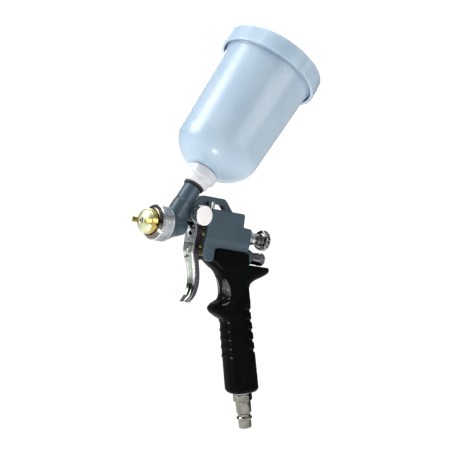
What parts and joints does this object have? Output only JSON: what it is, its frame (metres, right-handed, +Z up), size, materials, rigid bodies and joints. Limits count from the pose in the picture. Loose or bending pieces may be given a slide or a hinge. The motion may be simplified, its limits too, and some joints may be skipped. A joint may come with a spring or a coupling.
{
  "type": "spray gun",
  "caption": "Gravity-feed spray gun with a leaning translucent cup, a pulled trigger, a ring-held air cap, turning controls and an air inlet plug under the grip.",
  "frame": {"origin": "middle of the hook bar's underside, where a gun stand carries the gun", "axes": "+X towards the gun's rear, along the spray axis away from the nozzle; +Y towards the gun's right-hand side; +Z up"},
  "size_m": [0.1631, 0.0934, 0.3527],
  "materials": {
    "paint": "satin blue-grey paint on a cast and machined metal body",
    "chrome": "polished bright plating over machined brass or steel",
    "steel": "machined stainless steel",
    "brass": "machined brass, slightly dull",
    "seal": "black sealing rubber",
    "cup_plastic": "translucent moulded nylon, bluish white",
    "white_plastic": "white moulded plastic",
    "grip": "near-black soft moulded cover, dull with a glossy thumb dimple"
  },
  "bodies": {
    "root": {"gun_body": "paint", "air_passage_plug": "chrome", "fluid_nozzle": "steel", "needle_packing": "seal", "needle_packing_nut": "chrome", "needle_rear_guide": "brass", "needle_spring": "steel", "fluid_knob_bush": "chrome", "air_valve_packing_nut": "brass", "air_valve_packing": "seal", "air_valve_seat": "brass", "air_valve_spring": "steel", "fan_valve_sleeve": "steel", "pivot_screw": "chrome", "neck_seal": "seal", "cup_nut": "white_plastic", "paint_cup": "cup_plastic", "cup_strainer": "white_plastic", "grip_cover": "grip", "inlet_bushing": "steel", "air_inlet_plug": "chrome"},
    "trigger_body": {"trigger": "chrome"},
    "needle": {"fluid_needle": "steel", "needle_collar": "steel"},
    "air_valve": {"air_valve_stem": "steel", "air_valve_poppet": "seal"},
    "knob_carrier": {"spring_guide": "brass"},
    "fluid_control": {"fluid_knob": "chrome"},
    "regulator_carrier": {"regulator_seal": "seal"},
    "air_regulator": {"air_regulator_knob": "chrome"},
    "fan_carrier": {"fan_spindle_seal": "seal"},
    "fan_control": {"fan_spindle": "steel", "fan_knob": "chrome"},
    "cap_carrier": {"cap_seal_ring": "seal"},
    "cap": {"air_cap": "brass"},
    "cap_ring": {"air_cap_ring": "chrome"},
    "lid_carrier": {"lid_gasket": "seal"},
    "lid": {"cup_lid": "cup_plastic"},
    "vent": {"lid_vent_plug": "white_plastic"}
  },
  "joints": [
    {"name": "trigger_pull", "type": "hinge", "parent": "root", "child": "trigger_body", "pos_m": [-0.02, 0, -0.012], "axis": [0, -1, 0], "range_deg": [0, 14], "stiffness_Nm_per_rad": 2, "springref_deg": -8.59},
    {"name": "needle_slide", "type": "slide", "parent": "root", "child": "needle", "axis": [1, 0, 0], "range_m": [0, 0.0045], "deforming": ["needle_spring"]},
    {"name": "air_valve_slide", "type": "slide", "parent": "root", "child": "air_valve", "axis": [1, 0, 0], "range_m": [0, 0.0078], "deforming": ["air_valve_spring"]},
    {"name": "fluid_knob_travel", "type": "slide", "parent": "root", "child": "knob_carrier", "axis": [1, 0, 0], "range_m": [-0.00375, 0.00125]},
    {"name": "fluid_knob_turn", "type": "hinge", "parent": "knob_carrier", "child": "fluid_control", "pos_m": [0.06, 0, -0.0243], "axis": [1, 0, 0], "range_deg": [-1080, 360]},
    {"name": "air_regulator_travel", "type": "slide", "parent": "root", "child": "regulator_carrier", "axis": [1, 0, 0], "range_m": [-0.0005, 0.002]},
    {"name": "air_regulator_turn", "type": "hinge", "parent": "regulator_carrier", "child": "air_regulator", "pos_m": [0.055, 0, -0.0413], "axis": [1, 0, 0], "range_deg": [-180, 720]},
    {"name": "fan_control_travel", "type": "slide", "parent": "root", "child": "fan_carrier", "axis": [0, -1, 0], "range_m": [-0.0005, 0.0005]},
    {"name": "fan_control_turn", "type": "hinge", "parent": "fan_carrier", "child": "fan_control", "pos_m": [-0.02, -0.012, -0.012], "axis": [0, -1, 0], "range_deg": [-180, 180]},
    {"name": "air_cap_ring_travel", "type": "slide", "parent": "root", "child": "cap_carrier", "axis": [-1, 0, 0], "range_m": [0, 0.003]},
    {"name": "air_cap_turn", "type": "hinge", "parent": "cap_carrier", "child": "cap", "pos_m": [-0.068, 0, -0.0243], "axis": [-1, 0, 0], "range_deg": [-90, 90]},
    {"name": "air_cap_ring_turn", "type": "hinge", "parent": "cap_carrier", "child": "cap_ring", "pos_m": [-0.057, 0, -0.0243], "axis": [-1, 0, 0], "range_deg": [0, 720]},
    {"name": "lid_travel", "type": "slide", "parent": "root", "child": "lid_carrier", "axis": [0.4879, 0, 0.8729], "range_m": [0, 0.004]},
    {"name": "lid_turn", "type": "hinge", "parent": "lid_carrier", "child": "lid", "pos_m": [0.04339, 0, 0.13108], "axis": [0.4879, 0, 0.8729], "range_deg": [0, 360]},
    {"name": "vent_plug_pull", "type": "slide", "parent": "lid", "child": "vent", "axis": [0.4879, 0, 0.8729], "range_m": [0, 0.0025]}
  ],
  "couplings": [
    {"joint": "needle_slide", "follows": "trigger_pull", "m_per_rad": 0.0158},
    {"joint": "air_valve_slide", "follows": "trigger_pull", "m_per_rad": 0.0305},
    {"joint": "fluid_knob_turn", "follows": "fluid_knob_travel", "rad_per_m": 5026.5},
    {"joint": "air_regulator_turn", "follows": "air_regulator_travel", "rad_per_m": 6283.2},
    {"joint": "fan_control_turn", "follows": "fan_control_travel", "rad_per_m": 6283.2},
    {"joint": "air_cap_ring_turn", "follows": "air_cap_ring_travel", "rad_per_m": 4188.8},
    {"joint": "lid_turn", "follows": "lid_travel", "rad_per_m": 1570.8}
  ]
}
